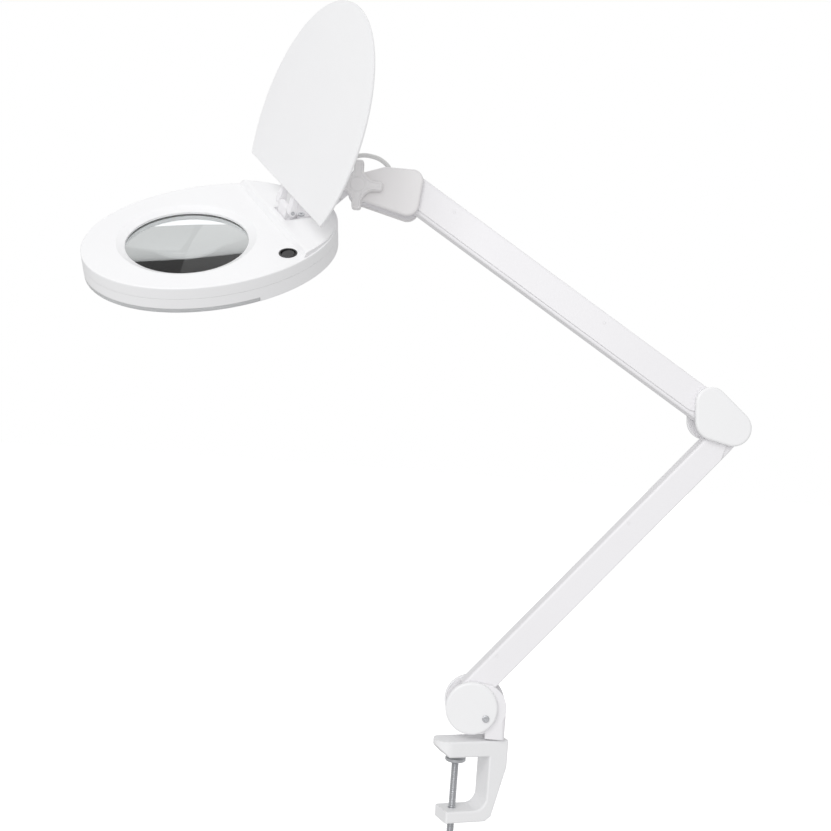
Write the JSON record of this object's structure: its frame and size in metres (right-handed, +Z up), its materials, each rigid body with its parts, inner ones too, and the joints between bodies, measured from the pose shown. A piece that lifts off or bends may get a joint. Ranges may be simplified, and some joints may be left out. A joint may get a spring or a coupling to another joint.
{
  "type": "magnifying lamp",
  "caption": "Clamp-on magnifying lamp: two covered parallelogram arms, an oval ring-light head with a round lens, and a hinged lid standing open.",
  "frame": {"origin": "where the clamp screw's axis meets the underside of the clamp's upper jaw, which rests on the worktop", "axes": "+Z up, along the clamp screw and the swivel post; +X from the jaws' nose to the clamp's spine, so -X points on to the worktop; +Y across the clamp"},
  "size_m": [0.6973, 0.2997, 0.8883],
  "materials": {
    "cast_white": "satin",
    "white_paint": "satin",
    "white_plastic": "satin",
    "grey_plastic": "matt",
    "black_plastic": "gloss",
    "bearing_plastic": "matt",
    "steel": "zinc plated",
    "flex_jacket": "matt",
    "diffuser": "frosted",
    "lens": "polished",
    "circuit_board": "gloss",
    "led": "gloss",
    "driver_case": "matt"
  },
  "bodies": {
    "clamp": {"clamp_body": "cast_white", "post_bush": "bearing_plastic"},
    "pad": {"pressure_pad": "steel"},
    "screw": {"clamp_screw": "steel", "clamp_handle": "steel"},
    "base": {"swivel_post": "steel", "swivel_washer": "bearing_plastic", "base_bracket": "white_paint", "base_disc_near": "white_plastic", "base_disc_far": "white_plastic", "base_screw_near": "steel", "base_screw_far": "steel", "base_link_pin": "steel", "base_trunnions": "steel"},
    "lower_arm": {"lower_arm_channel": "white_paint", "lower_spring_pins": "steel", "lower_springs": "steel"},
    "lower_link": {"lower_arm_link": "white_paint"},
    "elbow": {"elbow_core": "white_paint", "elbow_cover_near": "white_plastic", "elbow_cover_far": "white_plastic", "elbow_lower_trunnions": "steel", "elbow_upper_trunnions": "steel", "elbow_lower_pin": "steel", "elbow_upper_pin": "steel"},
    "upper_arm": {"upper_arm_channel": "white_paint", "upper_spring_pins": "steel", "upper_springs": "steel"},
    "upper_link": {"upper_arm_link": "white_paint"},
    "wrist": {"wrist_core": "white_paint", "wrist_shell_near": "grey_plastic", "wrist_shell_far": "grey_plastic", "wrist_trunnions": "steel", "wrist_link_pin": "steel", "tilt_bolt": "steel", "flex_gland": "black_plastic", "head_flex": "flex_jacket", "flex_boss": "black_plastic"},
    "knob": {"tilt_knob": "grey_plastic"},
    "knuckle": {"neck_knuckle": "white_paint"},
    "head": {"neck_washer": "bearing_plastic", "neck_pin": "steel", "neck_base": "white_paint", "neck_screws": "steel", "top_housing": "white_plastic", "bottom_housing": "white_plastic", "case_screws": "steel", "diffuser": "diffuser", "lens": "lens", "lens_retainer": "black_plastic", "led_board": "circuit_board", "leds": "led", "led_driver": "driver_case", "switch_body": "black_plastic", "lid_bracket": "white_paint"},
    "switch": {"switch_rocker": "black_plastic"},
    "lid": {"lid_panel": "white_plastic", "lid_arms": "white_paint", "lid_pin": "steel"}
  },
  "joints": [
    {"name": "screw_turn", "type": "hinge", "parent": "pad", "child": "screw", "pos_m": [0, 0, 0], "axis": [0, 0, 1], "range_deg": [-5420, 560]},
    {"name": "pad_slide", "type": "slide", "parent": "clamp", "child": "pad", "axis": [0, 0, 1], "range_m": [-0.03, 0.003]},
    {"name": "base_swivel", "type": "hinge", "parent": "clamp", "child": "base", "pos_m": [0.044, 0, 0.017], "axis": [0, 0, 1], "continuous": true},
    {"name": "lower_arm_lift", "type": "hinge", "parent": "base", "child": "lower_arm", "pos_m": [0.00459, 0.01592, 0.0581], "axis": [-0.3746, -0.9272, 0], "range_deg": [-14.6, 65.4]},
    {"name": "lower_link_turn", "type": "hinge", "parent": "base", "child": "lower_link", "pos_m": [0.01943, 0.00993, 0.0581], "axis": [-0.3746, -0.9272, 0], "range_deg": [-14.7, 65.5]},
    {"name": "elbow_lower_turn", "type": "hinge", "parent": "lower_arm", "child": "elbow", "pos_m": [0.24737, -0.08217, 0.36576], "axis": [-0.3746, -0.9272, 0], "range_deg": [-65.5, 14.7]},
    {"name": "upper_arm_lower", "type": "hinge", "parent": "elbow", "child": "upper_arm", "pos_m": [0.23879, -0.0787, 0.38861], "axis": [-0.3746, -0.9272, 0], "range_deg": [-30, 37]},
    {"name": "upper_link_turn", "type": "hinge", "parent": "elbow", "child": "upper_link", "pos_m": [0.23879, -0.0787, 0.37261], "axis": [-0.3746, -0.9272, 0], "range_deg": [-30.1, 37.1]},
    {"name": "wrist_turn", "type": "hinge", "parent": "upper_arm", "child": "wrist", "pos_m": [-0.08673, 0.05282, 0.608], "axis": [-0.3746, -0.9272, 0], "range_deg": [-37.1, 30.1]},
    {"name": "knob_turn", "type": "hinge", "parent": "wrist", "child": "knob", "pos_m": [-0.13309, 0.07155, 0.596], "axis": [-0.3746, -0.9272, 0], "range_deg": [0, 270]},
    {"name": "head_tilt", "type": "hinge", "parent": "wrist", "child": "knuckle", "pos_m": [-0.13309, 0.07155, 0.596], "axis": [-0.3746, -0.9272, 0], "range_deg": [-25, 35]},
    {"name": "head_swivel", "type": "hinge", "parent": "knuckle", "child": "head", "pos_m": [-0.17068, 0.08674, 0.57365], "axis": [0.6624, -0.2676, 0.6997], "range_deg": [-120, 30]},
    {"name": "switch_rock", "type": "hinge", "parent": "head", "child": "switch", "pos_m": [-0.21922, 0.02533, 0.50943], "axis": [-0.2089, 0.8309, 0.5157], "range_deg": [0, 12]},
    {"name": "lid_hinge", "type": "hinge", "parent": "head", "child": "lid", "pos_m": [-0.21083, 0.07938, 0.56924], "axis": [-0.2089, 0.8309, 0.5157], "range_deg": [-115, 0]}
  ],
  "couplings": [
    {"joint": "screw_turn", "follows": "pad_slide", "rad_per_m": 3141.6},
    {"joint": "lower_link_turn", "follows": "lower_arm_lift", "ratio": 1},
    {"joint": "elbow_lower_turn", "follows": "lower_arm_lift", "ratio": -1},
    {"joint": "upper_link_turn", "follows": "upper_arm_lower", "ratio": 1},
    {"joint": "wrist_turn", "follows": "upper_arm_lower", "ratio": -1}
  ]
}
